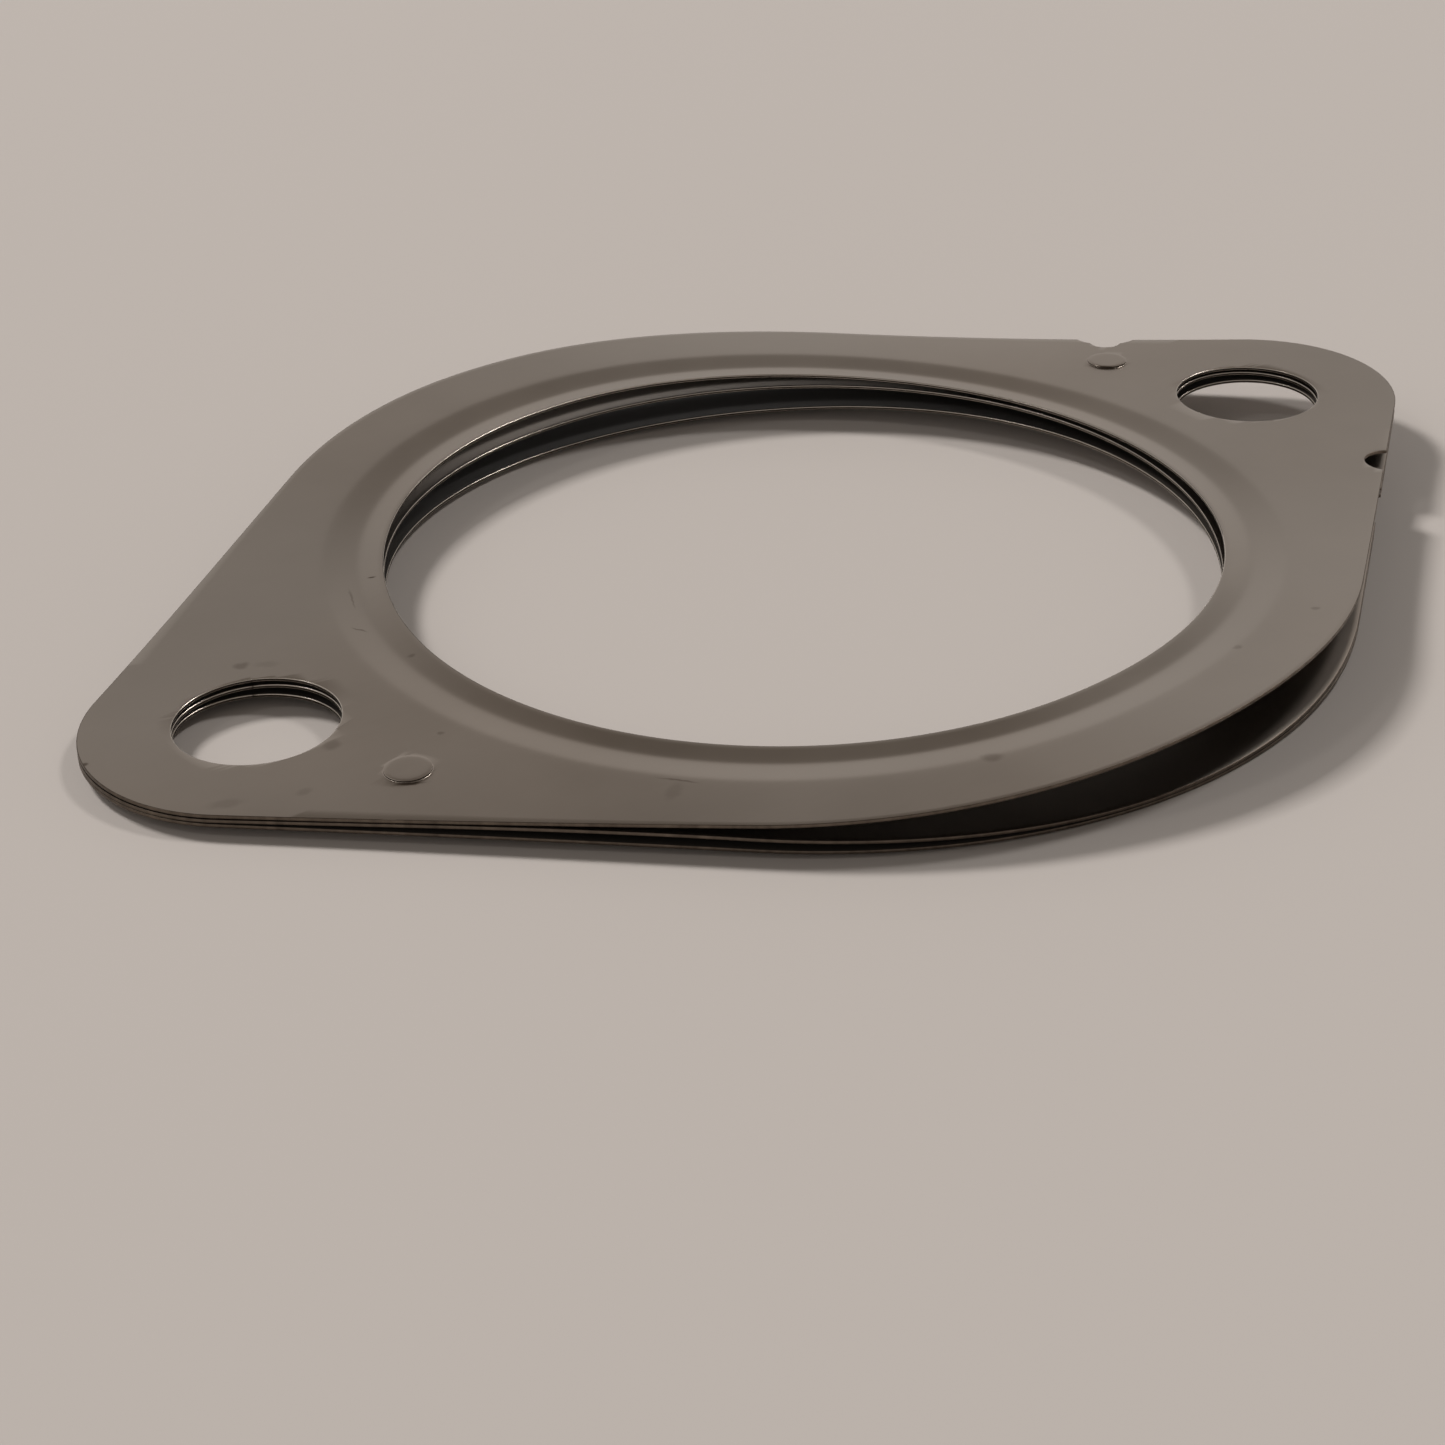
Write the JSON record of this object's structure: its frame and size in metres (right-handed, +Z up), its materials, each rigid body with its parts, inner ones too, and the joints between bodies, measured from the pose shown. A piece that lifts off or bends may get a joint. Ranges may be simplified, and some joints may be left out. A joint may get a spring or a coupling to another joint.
{
  "type": "exhaust flange gasket",
  "caption": "Exhaust flange gasket of layered thin spring steel sheets, clinched together and sprung slightly apart, with a beaded bore and a bolt hole in each lobe",
  "frame": {"origin": "on the bore's axis, level with the surface that the gasket lies on", "axes": "+X from the left bolt hole to the right one, the right lobe with the two notches; +Y across the sheets, away from the viewer; +Z up, out of the beads' grooves"},
  "size_m": [0.11, 0.0792, 0.0049],
  "materials": {
    "sheet_steel": "satin cold rolled spring steel with faint mottling"
  },
  "bodies": {
    "root": {"bottom_sheet": "sheet_steel", "middle_sheet": "sheet_steel", "top_sheet": "sheet_steel"}
  },
  "joints": []
}
